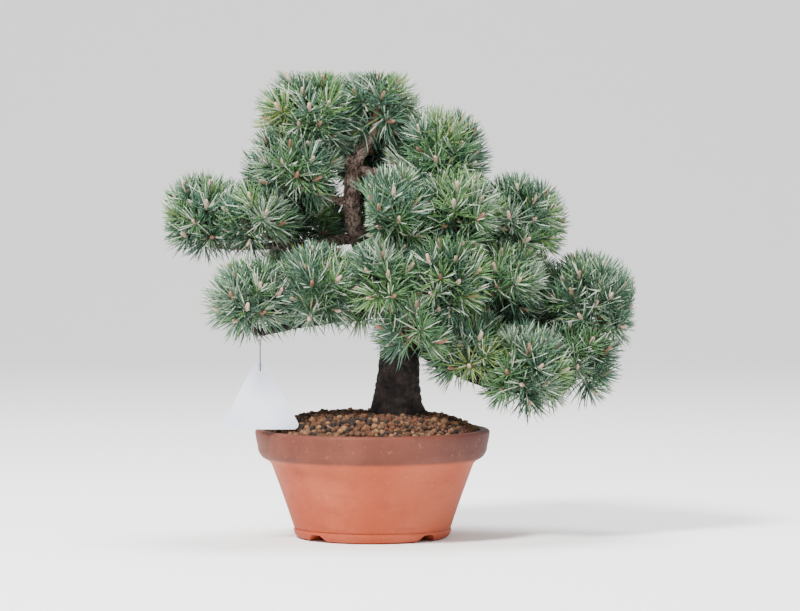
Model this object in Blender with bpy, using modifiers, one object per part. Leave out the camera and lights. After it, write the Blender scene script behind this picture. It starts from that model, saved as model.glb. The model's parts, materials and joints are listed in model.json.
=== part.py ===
# A Japanese black pine bonsai of the short-needled kind, in a round unglazed clay pot.
# Lengths are in millimetres up to the last step, which writes meshes in metres.
# Everything is laid out round the pot's axis, with +Y away from the front and the feet at Z = 0.

import math
import random
from collections import namedtuple

import bmesh
import bpy
import numpy as np
from mathutils import Matrix, Vector

MM = 0.001
GAP = 0.3                        # left between pieces that touch
WELD = 0.00001                   # metres, for points that are meant to be one

# The middle of the whole outline is the origin, so the pot stands a little off it
POT_AXIS = (-23.9, 0.5)

POT = dict(
    rim_height=97.0, rim_radius=105.0, rim_round=3.0, lip=8.5, lip_round=2.0, lip_depth=6.0,
    band_foot_radius=102.0, band_foot_height=77.5, band_tuck=3.2, band_tuck_height=72.5,
    under_band_radius=91.5, under_band_height=69.0, joint=1.5,
    body_foot_radius=70.5, body_foot_height=10.0, body_heights=(66.5, 52.0, 38.0, 24.0), bulge=0.08,
    groove=1.2, groove_width=2.0, foot_radius=65.0, foot_width=13.0, foot_tuck=1.0, foot_tuck_height=3.6,
    recess=7.0, recess_draft=2.0, floor=8.0, floor_round=4.0, wall=8.0,
    drain_radius=8.0, notch_height=6.4, notch_foot=14.0, notch_top=5.0, segments=36)

SOIL = dict(
    plateau_height=109.5, plateau_radius=52.0, crest_share=0.6, edge_height=96.0, edge_radius=95.0,
    slope_power=1.6, slope_steps=4, clearance=0.48, segments=24)

Station = namedtuple("Station", "x y z radius")
TRUNK = (
    Station(22.0, 0.0, 98.0, 21.5),
    Station(21.5, 0.0, 127.0, 19.5),
    Station(24.0, 3.0, 166.0, 17.6),
    Station(18.5, 8.0, 206.0, 14.8),
    Station(0.0, 11.0, 245.0, 11.2),
    Station(-15.0, 9.0, 276.0, 8.6),
    Station(-18.5, 6.0, 304.0, 7.6),
    Station(-15.5, 3.0, 334.0, 7.0),
    Station(-1.0, 0.0, 358.0, 4.6))
TRUNK_STEP = 11.0                 # between the rings of the trunk
FLARE = dict(height=24.0, spread=0.13, lobes=5, lobe_depth=0.07, lobe_turn=0.6, up_to=180.0)
BURL = dict(z=114.0, turn=-0.1, size=2.4, reach=7.5, width=0.6)

# A mass of foliage fills a ball, and a bough or the trunk's tip carries it.
# "at" is a height on the trunk, or a share of the length of another bough.
# "sag" bows the bough down, and "drop" is how far below the ball's middle it arrives.
Mass = namedtuple("Mass", "x y z radius parent at sag drop thick")
MASSES = {
    "crown_top": Mass(4, 0, 383, 38, "trunk", 358, 0, 0.6, 4.6),
    "crown_left": Mass(-57, -8, 373, 46, "trunk", 336, 4, 0.60, 5.6),
    "crown_right": Mass(58, -8, 338, 45, "trunk", 328, 2, 0.25, 4.8),
    "crown_back": Mass(4, 50, 346, 42, "trunk", 318, 2, 0.25, 4.4),
    "upper_left": Mass(-70, -20, 329, 43, "trunk", 300, 6, 0.30, 4.2),
    "left_tip": Mass(-149, -6, 282, 42, "trunk", 268, 8, 0.50, 5.4),
    "left_inner": Mass(-100, -26, 283, 37, "left_tip", 0.42, 0, 0.30, 3.2),
    "left_back": Mass(-62, 32, 277, 42, "left_tip", 0.34, 0, 0.35, 3.4),
    "middle_front": Mass(16, -46, 288, 43, "right_tip", 0.20, 4, 0.40, 4.2),
    "middle_right": Mass(74, -36, 286, 42, "right_tip", 0.46, 2, 0.45, 3.8),
    "right_tip": Mass(130, -4, 281, 42, "trunk", 243, 6, 0.45, 9.0),
    "middle_back": Mass(14, 62, 283, 43, "trunk", 256, 4, 0.30, 4.8),
    "right_back": Mass(60, 46, 280, 43, "right_tip", 0.3, 2, 0.30, 4.0),
    "low_left_tip": Mass(-106, -66, 210, 40, "trunk", 212, 4, 0.62, 7.0),
    "low_left_mid": Mass(-48, -52, 222, 41, "low_left_tip", 0.42, 0, 0.35, 4.2),
    "low_left_back": Mass(-68, 34, 222, 43, "trunk", 215, 6, 0.40, 5.4),
    "low_front": Mass(12, -62, 230, 38, "trunk", 228, 2, 0.25, 4.4),
    "low_front_foot": Mass(36, -66, 188, 34, "trunk", 190, -4, 0.05, 4.6),
    "low_back": Mass(0, 74, 214, 43, "trunk", 208, 4, 0.40, 5.4),
    "right_front": Mass(64, -56, 231, 41, "far_right", 0.32, 0, 0.45, 4.2),
    "right_middle": Mass(114, -26, 226, 40, "far_right", 0.56, 0, 0.45, 3.8),
    "far_right": Mass(195, 0, 207, 47, "trunk", 205, 6, 0.40, 7.4),
    "far_right_back": Mass(140, 44, 212, 41, "far_right", 0.52, 2, 0.35, 4.0),
    "low_right_back": Mass(74, 62, 198, 43, "trunk", 193, 6, 0.35, 5.6),
    "low_right_inner": Mass(86, -36, 168, 41, "low_right_tip", 0.38, 0, 0.40, 4.2),
    "low_right_mid": Mass(134, -42, 150, 42, "low_right_tip", 0.64, 0, 0.40, 3.8),
    "low_right_tip": Mass(180, -8, 160, 42, "trunk", 183, 36, 0.62, 7.6),
}
BOUGH_TAPER = 0.55               # a bough's tip over its root
BOUGH_STEP = 14.0
ENTRY = 0.15                     # a bough ends this share of the radius short of the ball's middle
CROOK = 2.2                      # how far a bough wanders off its bow
CROOK_WAVES = (1.4, 2.2)         # turns that it wanders through
CLEARANCE = 0.5                  # kept between foliage and every limb
STEM = dict(knee=4.0, hub_drop=0.1, taper=0.8)

# A shoot is a slim core, "core" thick where it swells, from which needles stand out:
# those at its nose lean little off its axis, and those at its foot stand well out.
SPRAY = dict(
    length=14.0, core=7.0, core_kept=5.0, swell_at=0.4, sides=5, spacing=28.0, tries=90,
    lowest=-0.85, lift=0.15, least_depth=8.0, depth_jitter=2.0, turn_jitter=0.25)
NEEDLE = dict(
    length=25.0, lengths=(0.9, 1.04), shortened=(1.0, 0.8, 0.6), inner_share=0.9, beyond=5.0,
    front_lean=8.0, side_lean=84.0, lean_jitter=9.0, root_radius=1.3, tip_radius=0.2,
    side_gap=1.2, limb_gap=1.0, needle_gap=0.4)
TWIG = dict(root=1.9, branch=1.6, tip=1.5, knot=6.0, leave_at=0.55, loyalty=0.3, least=5.0)

# The plain tag hangs on a wire looped round the low left bough near its tip
TAG = dict(width=72.5, height=60.0, top=8.0, thickness=1.0, corner=4.0, hole=3.2, hole_drop=11.0)
WIRE = dict(
    radius=0.5, bough="low_left_tip", at=0.975, hang=33.0, loop_points=9, loop_span=330.0, length=24.0)


def make_material(name, colour, roughness, metallic=0.0):
    material = bpy.data.materials.new(name)
    material.use_nodes = True
    shader = material.node_tree.nodes["Principled BSDF"]
    shader.inputs["Base Color"].default_value = (*colour, 1.0)
    shader.inputs["Roughness"].default_value = roughness
    shader.inputs["Metallic"].default_value = metallic
    material.diffuse_color = (*colour, 1.0)
    return material


def make_object(name, mesh, material=None, collection=None):
    piece = bpy.data.objects.new(name, mesh)
    (collection or bpy.context.scene.collection).objects.link(piece)
    if material:
        mesh.materials.append(material)
    return piece


def mesh_in_metres(name, shape):
    bmesh.ops.scale(shape, vec=(MM, MM, MM), verts=shape.verts)
    bmesh.ops.recalc_face_normals(shape, faces=shape.faces)
    mesh = bpy.data.meshes.new(name)
    shape.to_mesh(mesh)
    shape.free()
    return mesh


def settle(piece):
    """Replace an object's data by the mesh that its curve or modifiers give."""
    depsgraph = bpy.context.evaluated_depsgraph_get()
    mesh = bpy.data.meshes.new_from_object(piece.evaluated_get(depsgraph))
    shape = bmesh.new()
    shape.from_mesh(mesh)
    if piece.type == "CURVE":
        bmesh.ops.remove_doubles(shape, verts=shape.verts, dist=WELD)
    keep_largest_shell(shape)
    shape.to_mesh(mesh)
    shape.free()
    settled = bpy.data.objects.new(piece.name, mesh)
    settled.matrix_world = piece.matrix_world
    for collection in piece.users_collection:
        collection.objects.link(settled)
    name = piece.name
    bpy.data.objects.remove(piece)
    settled.name = name
    return settled


def keep_largest_shell(shape):
    """Drop loose scraps, and fill sealed hollows by removing their inner shells."""
    shells = []
    waiting = set(shape.faces)
    while waiting:
        shell = set()
        front = [waiting.pop()]
        while front:
            face = front.pop()
            shell.add(face)
            for edge in face.edges:
                for neighbour in edge.link_faces:
                    if neighbour in waiting:
                        waiting.remove(neighbour)
                        front.append(neighbour)
        shells.append(shell)
    shells.sort(key=len)
    scraps = [face for shell in shells[:-1] for face in shell]
    bmesh.ops.delete(shape, geom=scraps, context="FACES")


def boolean(piece, operation, other, solver="EXACT"):
    cut = piece.modifiers.new("boolean", "BOOLEAN")
    cut.operation = operation
    cut.solver = solver
    if isinstance(other, bpy.types.Collection):
        cut.operand_type = "COLLECTION"
        cut.collection = other
    else:
        cut.object = other
    return settle(piece)


def turned(name, profile, segments, material, collection):
    """Turn a closed or axis-to-axis profile of (radius, height) points round Z."""
    closed = profile[0][0] > 0.0
    count = len(profile)
    points = [(radius * MM, 0.0, height * MM) for radius, height in profile]
    edges = [(i, (i + 1) % count) for i in range(count if closed else count - 1)]
    mesh = bpy.data.meshes.new(name)
    mesh.from_pydata(points, edges, [])
    piece = make_object(name, mesh, material, collection)
    screw = piece.modifiers.new("turn", "SCREW")
    screw.steps = segments
    screw.render_steps = segments
    screw.use_merge_vertices = True
    screw.merge_threshold = WELD
    return piece


def arc(x, z, radius, start, end, steps):
    """Points on a round corner, between two angles in degrees from +X."""
    angles = [math.radians(start + (end - start) * i / steps) for i in range(steps + 1)]
    return [(x + radius * math.cos(a), z + radius * math.sin(a)) for a in angles]


def body_radius(height):
    """Outside of the pot's flaring body."""
    rise = (height - POT["body_foot_height"]) / (POT["under_band_height"] - POT["body_foot_height"])
    flare = POT["under_band_radius"] - POT["body_foot_radius"]
    return POT["body_foot_radius"] + flare * (rise + POT["bulge"] * (rise * rise - rise))


def inner_radius(height):
    """Inside of the pot, a wall's thickness in from the body and the lip."""
    lip = POT["rim_radius"] - POT["lip"]
    rise = POT["rim_height"] - POT["lip_depth"] - POT["under_band_height"]
    above = min(1.0, max(0.0, (height - POT["under_band_height"]) / rise))
    body = body_radius(min(height, POT["under_band_height"])) - POT["wall"]
    return body + (lip - body) * above


def inner_wall(clearance=0.0, lift=0.0):
    """The pot's inside from the edge of its floor up to the lip, as (radius, height)."""
    floor = POT["recess"] + POT["floor"]
    corner = floor + POT["floor_round"]
    points = [(inner_radius(corner) - POT["floor_round"] - clearance, floor + lift)]
    for height in (corner, POT["under_band_height"], POT["rim_height"] - POT["lip_depth"]):
        points.append((inner_radius(height) - clearance, height))
    return points


def make_pot(material, collection, cutters):
    p = POT
    foot = p["body_foot_height"]
    inner_foot = p["foot_radius"] - p["foot_width"]
    edge = p["rim_round"]
    profile = arc(p["rim_radius"] - edge, p["rim_height"] - edge, edge, 90, 0, 2)
    profile += [(p["band_foot_radius"], p["band_foot_height"])]
    profile += [(p["band_foot_radius"] - p["band_tuck"], p["band_tuck_height"])]
    profile += [(p["under_band_radius"] + p["joint"], p["under_band_height"])]
    profile += [(body_radius(height), height) for height in (*p["body_heights"], foot)]
    profile += [(p["body_foot_radius"] - p["groove"], foot - 0.3 * p["groove_width"])]
    profile += [(p["body_foot_radius"] - p["groove"], foot - 0.6 * p["groove_width"])]
    profile += [(p["body_foot_radius"], foot - p["groove_width"])]
    profile += [(p["body_foot_radius"] - p["foot_tuck"], p["foot_tuck_height"])]
    profile += [(p["foot_radius"], 0.0), (inner_foot, 0.0), (inner_foot - p["recess_draft"], p["recess"])]
    profile += [(p["drain_radius"], p["recess"]), (p["drain_radius"], p["recess"] + p["floor"])]
    profile += inner_wall()
    lip = p["rim_radius"] - p["lip"]
    profile += arc(lip + p["lip_round"], p["rim_height"] - p["lip_round"], p["lip_round"], 180, 90, 1)
    pot = turned("pot", profile, p["segments"], material, collection)
    for quarter in range(2):
        shape = bmesh.new()
        bmesh.ops.create_cube(shape, size=1.0)
        for vert in shape.verts:
            low = vert.co.z < 0.0
            half = p["notch_foot"] if low else p["notch_top"]
            vert.co.x = math.copysign(half, vert.co.x)
            vert.co.y = math.copysign(p["rim_radius"], vert.co.y)
            vert.co.z = -1.0 if low else p["notch_height"]
        bar = make_object(f"notch_{quarter}", mesh_in_metres("notch", shape), None, cutters)
        bar.rotation_euler.z = math.radians(45 + 90 * quarter)
        bar.hide_render = True
        bar.display_type = "WIRE"
        cut = pot.modifiers.new(bar.name, "BOOLEAN")
        cut.operation = "DIFFERENCE"
        cut.object = bar
    return pot


def make_soil(material, collection):
    s = SOIL
    profile = [(0.0, s["plateau_height"]), (s["plateau_radius"] * s["crest_share"], s["plateau_height"])]
    for i in range(s["slope_steps"] + 1):
        share = i / s["slope_steps"]
        radius = s["plateau_radius"] + (s["edge_radius"] - s["plateau_radius"]) * share
        fall = (s["plateau_height"] - s["edge_height"]) * share ** s["slope_power"]
        profile.append((radius, s["plateau_height"] - fall))
    profile += reversed(inner_wall(s["clearance"], GAP))
    profile.append((0.0, profile[-1][1]))
    return turned("soil", profile, s["segments"], material, collection)


def catmull(stations, step):
    """Even points on a smooth curve through the stations, as rows of x, y, z, radius."""
    rows = np.array(stations, dtype=float)
    ends = np.vstack([2 * rows[0] - rows[1], rows, 2 * rows[-1] - rows[-2]])
    points = []
    for i in range(1, len(ends) - 2):
        a, b, c, d = ends[i - 1:i + 3]
        pieces = max(1, round(float(np.linalg.norm((c - b)[:3])) / step))
        for j in range(pieces):
            t = j / pieces
            points.append(0.5 * (2 * b + (c - a) * t + (2 * a - 5 * b + 4 * c - d) * t * t
                                 + (3 * b - a - 3 * c + d) * t ** 3))
    points.append(rows[-1])
    return np.array(points)


def bough_path(name, start, end, sag, root, tip, step=BOUGH_STEP):
    """A bowed, slightly crooked and tapering limb, as rows of x, y, z, radius."""
    rng = random.Random(name)
    turn = rng.uniform(0.0, math.tau)
    waves = rng.uniform(*CROOK_WAVES)
    middle = (start + end) / 2 - Vector((0, 0, sag))
    along = (end - start).normalized()
    side = along.cross(Vector((0, 0, 1))).normalized()
    up = side.cross(along)
    count = max(4, round((end - start).length / step))
    rows = []
    for i in range(count + 1):
        t = i / count
        point = start * (1 - t) ** 2 + middle * 2 * t * (1 - t) + end * t * t
        swing = CROOK * math.sin(math.pi * t) ** 2
        phase = turn + math.tau * waves * t
        point = point + side * (swing * math.cos(phase)) + up * (0.5 * swing * math.sin(phase))
        rows.append((*point, root + (tip - root) * t))
    return np.array(rows)


def point_at(path, share):
    """Point and radius part of the way along a path, by its length."""
    lengths = np.concatenate([[0.0], np.cumsum(np.linalg.norm(np.diff(path[:, :3], axis=0), axis=1))])
    row = [np.interp(share * lengths[-1], lengths, path[:, k]) for k in range(4)]
    return Vector(row[:3]), row[3]


def trunk_at(path, height):
    row = [np.interp(height, path[:, 2], path[:, k]) for k in range(4)]
    return Vector(row[:3])


def plan_limbs():
    """Paths of the trunk, of every bough and of each mass's stem."""
    trunk = catmull(TRUNK, TRUNK_STEP)
    boughs, stems = {}, {}
    for name, mass in sorted(MASSES.items(), key=lambda item: item[1].parent != "trunk"):
        centre = Vector(mass[:3])
        tip = mass.thick * BOUGH_TAPER
        if name == "crown_top":
            end = Vector(trunk[-1, :3])
            along = (end - Vector(trunk[-2, :3])).normalized()
            tip = float(trunk[-1, 3])
        else:
            if mass.parent == "trunk":
                start = trunk_at(trunk, mass.at)
            else:
                start = point_at(boughs[mass.parent], mass.at)[0]
            inward = (start - centre).normalized()
            end = centre + inward * (ENTRY * mass.radius) - Vector((0, 0, mass.drop * mass.radius))
            boughs[name] = bough_path(name, start, end, mass.sag, mass.thick, tip)
            along = (end - Vector(boughs[name][-2, :3])).normalized()
        hub = centre - Vector((0, 0, STEM["hub_drop"] * mass.radius))
        root = end + along * GAP
        knee = root + along * STEM["knee"]
        stems[name] = np.array([(*root, tip), (*knee, tip), (*hub, tip * STEM["taper"])])
    return trunk, boughs, stems


def dense(path, step=2.0):
    """The path's points at a close spacing, for measuring clearance."""
    rows = [path[:1]]
    for a, b in zip(path[:-1], path[1:]):
        count = max(1, int(np.linalg.norm((b - a)[:3]) / step))
        rows.append(a + (b - a) * (np.arange(1, count + 1) / count)[:, None])
    return np.vstack(rows)


def make_tube(name, path, sides_level, material, collection):
    curve = bpy.data.curves.new(name, "CURVE")
    curve.dimensions = "3D"
    curve.bevel_depth = MM
    curve.bevel_resolution = sides_level
    curve.use_fill_caps = True
    spline = curve.splines.new("POLY")
    spline.points.add(len(path) - 1)
    for point, row in zip(spline.points, path):
        point.co = (row[0] * MM, row[1] * MM, row[2] * MM, 1.0)
        point.radius = row[3]
    return settle(make_object(name, curve, material, collection))


def swollen(piece, amount, collection):
    """A copy of a limb, grown by a clearance, that cuts the limbs leaving it."""
    shape = bmesh.new()
    shape.from_mesh(piece.data)
    shape.normal_update()
    moves = [(vert, vert.normal * (amount * MM)) for vert in shape.verts]
    for vert, move in moves:
        vert.co += move
    mesh = bpy.data.meshes.new(piece.name)
    shape.to_mesh(mesh)
    shape.free()
    cutter = make_object("swollen_" + piece.name, mesh, None, collection)
    cutter.hide_render = True
    cutter.display_type = "WIRE"
    return cutter


def make_trunk(path, material, collection):
    trunk = make_tube("trunk", path, 4, material, collection)
    shape = bmesh.new()
    shape.from_mesh(trunk.data)
    ground = SOIL["plateau_height"] + GAP
    for vert in shape.verts:
        x, y, z = vert.co / MM
        axis = trunk_at(path, z)
        out = Vector((x - axis.x, y - axis.y, 0.0))
        if z > FLARE["up_to"] or out.length < 1.0:
            continue
        turn = math.atan2(out.y, out.x)
        low = math.exp(-max(0.0, z - ground) / FLARE["height"])
        lobes = FLARE["lobe_depth"] * math.cos(FLARE["lobes"] * turn + FLARE["lobe_turn"])
        grown = out * ((FLARE["spread"] + lobes) * low)
        off = ((z - BURL["z"]) / BURL["reach"]) ** 2 + ((turn - BURL["turn"]) / BURL["width"]) ** 2
        burl = math.exp(-off)
        grown += out.normalized() * (BURL["size"] * burl)
        vert.co += grown * MM
    cut = bmesh.ops.bisect_plane(
        shape, geom=shape.verts[:] + shape.edges[:] + shape.faces[:], dist=WELD,
        plane_co=(0, 0, ground * MM), plane_no=(0, 0, 1), clear_inner=True)
    rim = [item for item in cut["geom_cut"] if isinstance(item, bmesh.types.BMEdge)]
    bmesh.ops.contextual_create(shape, geom=rim)
    bmesh.ops.recalc_face_normals(shape, faces=shape.faces)
    shape.to_mesh(trunk.data)
    shape.free()
    return trunk


def make_boughs(trunk, boughs, material, collection, cutters):
    limbs = {"trunk": trunk}
    swellings = {}
    for name, path in boughs.items():
        parent = MASSES[name].parent
        main = parent == "trunk"
        limb = make_tube("bough_" + name, path, 2 if main else 1, material, collection)
        if parent not in swellings:
            swellings[parent] = swollen(limbs[parent], GAP, cutters)
        limbs[name] = boolean(limb, "DIFFERENCE", swellings[parent])
    for cutter in swellings.values():
        bpy.data.objects.remove(cutter)
    return limbs


class Space:
    """Where each mass may grow: its own ball, on its own side of its neighbours."""

    def __init__(self, limb_paths, stems):
        self.names = list(MASSES)
        self.centres = np.array([mass[:3] for mass in MASSES.values()], dtype=float)
        self.radii = np.array([mass.radius for mass in MASSES.values()], dtype=float)
        self.limbs = {name: dense(path) for name, path in limb_paths.items()}
        self.stems = {name: dense(path) for name, path in stems.items()}
        self.obstacles = {}

    def choose(self, name):
        self.own = self.names.index(name)
        rows = list(self.limbs.values())
        rows += [path for other, path in self.stems.items() if other != name]
        self.obstacles = np.vstack(rows)
        self.apart = np.linalg.norm(self.centres - self.centres[self.own], axis=1)

    def inside(self, point, margin, beyond=0.0):
        away = np.sum((self.centres - np.array(point)) ** 2, axis=1)
        power = away - self.radii ** 2
        rest = power - power[self.own] - 2 * margin * self.apart
        rest[self.own] = 1.0
        within = away[self.own] <= (self.radii[self.own] + beyond) ** 2
        return bool(within and (rest > 0.0).all())

    def clear(self, a, b, thickness, points=None):
        points = self.obstacles if points is None else points
        if len(points) == 0:
            return True
        a, b = np.array(a), np.array(b)
        run = b - a
        share = np.clip(((points[:, :3] - a) @ run) / max(run @ run, 1e-9), 0.0, 1.0)
        nearest = a + share[:, None] * run
        distance = np.linalg.norm(points[:, :3] - nearest, axis=1)
        return bool((distance > points[:, 3] + thickness + CLEARANCE).all())


def shoots_of(name, space):
    """The mass's shoots, each a foot and a direction, spread evenly over its ball."""
    mass = MASSES[name]
    rng = random.Random("shoots " + name)
    centre = Vector(mass[:3])
    length = SPRAY["length"]
    reach = NEEDLE["length"] * NEEDLE["inner_share"] + length
    depth = max(SPRAY["least_depth"], mass.radius - reach)
    golden = math.pi * (3 - math.sqrt(5))
    shoots, noses = [], []
    for i in range(SPRAY["tries"]):
        height = 1 - (i + 0.35) / SPRAY["tries"] * (1 - SPRAY["lowest"])
        turn = i * golden + rng.uniform(-SPRAY["turn_jitter"], SPRAY["turn_jitter"])
        flat = math.sqrt(max(0.0, 1 - height * height))
        out = Vector((flat * math.cos(turn), flat * math.sin(turn), height))
        foot = centre + out * (depth + rng.uniform(-SPRAY["depth_jitter"], SPRAY["depth_jitter"]))
        axis = (out + Vector((0, 0, SPRAY["lift"]))).normalized()
        nose = foot + axis * length
        if any((nose - other).length < SPRAY["spacing"] for other in noses):
            continue
        margin = SPRAY["core"] + CLEARANCE
        if not (space.inside(foot, margin) and space.inside(nose, margin)):
            continue
        if space.clear(foot, nose, SPRAY["core"]):
            shoots.append((foot, axis))
            noses.append(nose)
    return shoots


def twigs_of(shoots, hub, space):
    """Each shoot's twig leaves the nearest place on what has grown before it."""
    order = sorted(shoots, key=lambda shoot: (shoot[0] - hub).length)
    grown = []
    for foot, axis in order:
        places = [(hub, TWIG["root"])]
        places += [(twig[0].lerp(twig[1], TWIG["leave_at"]), TWIG["branch"]) for twig in grown]
        places.sort(key=lambda place: (foot - place[0]).length + TWIG["loyalty"] * (place[0] - hub).length)
        for start, radius in places:
            if (foot - start).length > TWIG["least"] and space.clear(start, foot, radius):
                grown.append((start, foot, axis, radius))
                break
    return grown


def turn_to(axis):
    return axis.to_track_quat("Z", "Y").to_matrix().to_4x4()


def rod(a, b, start_radius, end_radius, count=7):
    """Points along a needle, twig or core, with the thickness there."""
    share = np.linspace(0.0, 1.0, count)[:, None]
    ends = np.array([(*a, start_radius), (*b, end_radius)])
    return ends[0] * (1 - share) + ends[1] * share


def add_shoot(collection, twig, rng, space, taken):
    """A twig that swells to a slim core, whose faces are drawn out into needles."""
    n = NEEDLE
    start, foot, axis, radius = twig
    shape = bmesh.new()
    sides = SPRAY["sides"]
    run = foot - start
    bmesh.ops.create_cone(
        shape, segments=sides, radius1=radius, radius2=TWIG["tip"], depth=run.length, cap_ends=True,
        matrix=Matrix.Translation(Vector((0, 0, run.length / 2))))
    spin = Matrix.Rotation(rng.uniform(0.0, math.tau), 4, "Z")
    shape.transform(Matrix.Translation(start) @ turn_to(run.normalized()) @ spin)
    shape.faces.ensure_lookup_table()
    end = max(shape.faces, key=lambda face: (face.calc_center_median() - start).dot(run))
    end = bmesh.ops.extrude_discrete_faces(shape, faces=[end])["faces"][0]
    middle = foot + axis * (SPRAY["length"] * SPRAY["swell_at"])
    for vert in end.verts:
        out = (vert.co - foot) - axis * (vert.co - foot).dot(axis)
        vert.co = middle + out.normalized() * SPRAY["core"]
    swell = [face for edge in end.edges for face in edge.link_faces if face is not end]
    nose = bmesh.ops.poke(shape, faces=[end])
    nose["verts"][0].co = foot + axis * SPRAY["length"]
    bearing = list(nose["faces"]) + list(bmesh.ops.triangulate(shape, faces=swell)["faces"])
    drawn, needles = [], []
    for face in bearing:
        root = face.calc_center_median()
        along = (root - foot).dot(axis)
        radial = (root - foot) - axis * along
        lean = n["side_lean"] + (n["front_lean"] - n["side_lean"]) * along / SPRAY["length"]
        lean = math.radians(lean + rng.uniform(-n["lean_jitter"], n["lean_jitter"]))
        way = radial.normalized() * math.sin(lean) + axis * math.cos(lean)
        full = n["length"] * rng.uniform(*n["lengths"])
        for share in n["shortened"]:
            tip = root + way * (full * share)
            if not space.inside(tip, n["side_gap"], n["beyond"]):
                continue
            if space.clear(root, tip, n["limb_gap"]) and space.clear(root, tip, n["needle_gap"], taken):
                drawn.append((face, tip))
                needles.append(rod(root, tip, n["root_radius"], n["tip_radius"]))
                break
    for face, tip in drawn:
        poked = bmesh.ops.poke(shape, faces=[face])
        poked["verts"][0].co = tip
    make_object("shoot", mesh_in_metres("shoot", shape), None, collection)
    return needles


def tag_hang(paths):
    """Where the wire's loop lies: the bough's middle there, its run and its radius."""
    path = paths[WIRE["bough"]]
    middle, radius = point_at(path, WIRE["at"])
    return middle, Vector(path[-1, :3] - path[-2, :3]).normalized(), radius


def wire_path(paths):
    """A loop round the bough, a straight drop, and a hook through the tag's hole."""
    middle, along, radius = tag_hang(paths)
    side = along.cross(Vector((0, 0, 1))).normalized()
    up = side.cross(along)
    reach = radius + GAP * 1.5 + WIRE["radius"]
    points = []
    for i in range(WIRE["loop_points"]):
        turn = math.radians(WIRE["loop_span"] * (i / (WIRE["loop_points"] - 1) - 0.5))
        points.append(middle + (up * math.cos(turn) + side * math.sin(turn)) * reach)
    hole_top = Vector((points[-1].x, points[-1].y + TAG["thickness"], middle.z - WIRE["hang"]))
    away = TAG["thickness"] / 2 + GAP + WIRE["radius"]
    hook = ((-away - 0.2, WIRE["length"]), (-away - 0.2, 6.0), (-away, 0.8), (-0.75 * away, -0.55),
            (0.0, -0.9), (0.75 * away, -0.55), (away, 0.8), (away + 0.2, 4.5))
    points += [hole_top + Vector((0.0, y, z)) for y, z in hook]
    return np.array([(*point, WIRE["radius"]) for point in points]), hole_top


def rounded(corners, radius, steps):
    """An outline through the corners, each turned with a small arc."""
    points = []
    for i, corner in enumerate(corners):
        before = (corners[i - 1] - corner).normalized()
        after = (corners[(i + 1) % len(corners)] - corner).normalized()
        half = before.angle(after) / 2
        size = min(radius, 0.45 * (corners[i - 1] - corner).length * math.tan(half))
        centre = corner + (before + after).normalized() * (size / math.sin(half))
        start = corner + before * (size / math.tan(half)) - centre
        end = corner + after * (size / math.tan(half)) - centre
        for j in range(steps + 1):
            mix = start.lerp(end, j / steps)
            points.append(centre + mix.normalized() * size)
    return points


def make_tag(hole_top, material, collection):
    """A thin triangle with rounded corners and a hole, cut from sheet."""
    t = TAG
    top = t["hole_drop"] - t["hole"]
    corners = [Vector((-t["top"] / 2, top)), Vector((-t["width"] / 2, top - t["height"])),
               Vector((t["width"] / 2, top - t["height"])), Vector((t["top"] / 2, top))]
    ring = [Vector((math.cos(math.tau * i / 12), math.sin(math.tau * i / 12))) * t["hole"] for i in range(12)]
    hole = [point - Vector((0.0, t["hole"])) for point in ring]
    curve = bpy.data.curves.new("tag", "CURVE")
    curve.dimensions = "2D"
    curve.fill_mode = "BOTH"
    curve.extrude = t["thickness"] / 2 * MM
    for outline in (rounded(corners, t["corner"], 4), hole):
        spline = curve.splines.new("POLY")
        spline.points.add(len(outline) - 1)
        spline.use_cyclic_u = True
        for point, place in zip(spline.points, outline):
            point.co = (place.x * MM, place.y * MM, 0.0, 1.0)
    tag = make_object("tag", curve, material, collection)
    tag.rotation_euler.x = math.radians(90)
    tag.location = hole_top * MM
    bpy.context.view_layer.update()
    return settle(tag)


def make_mass(name, stem, space, material, collection):
    space.choose(name)
    hub = Vector(stem[-1, :3])
    twigs = twigs_of(shoots_of(name, space), hub, space)
    joining = bpy.data.collections.new("joining")
    bpy.context.scene.collection.children.link(joining)
    knot = bmesh.new()
    bmesh.ops.create_icosphere(knot, subdivisions=1, radius=TWIG["knot"], matrix=Matrix.Translation(hub))
    make_object("knot", mesh_in_metres("knot", knot), None, joining)
    rng = random.Random("needles " + name)
    kept = SPRAY["core_kept"]
    cores = [rod(foot, foot + axis * SPRAY["length"], kept, kept) for start, foot, axis, radius in twigs]
    grown = []
    for i, twig in enumerate(twigs):
        taken = cores[:i] + cores[i + 1:] + grown
        taken = np.vstack(taken) if taken else np.empty((0, 4))
        grown += add_shoot(joining, twig, rng, space, taken)
    mass = make_tube("foliage_" + name, stem, 0, material, collection)
    boolean(mass, "UNION", joining, "MANIFOLD")
    for piece in list(joining.objects):
        bpy.data.objects.remove(piece)
    bpy.data.collections.remove(joining)


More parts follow.
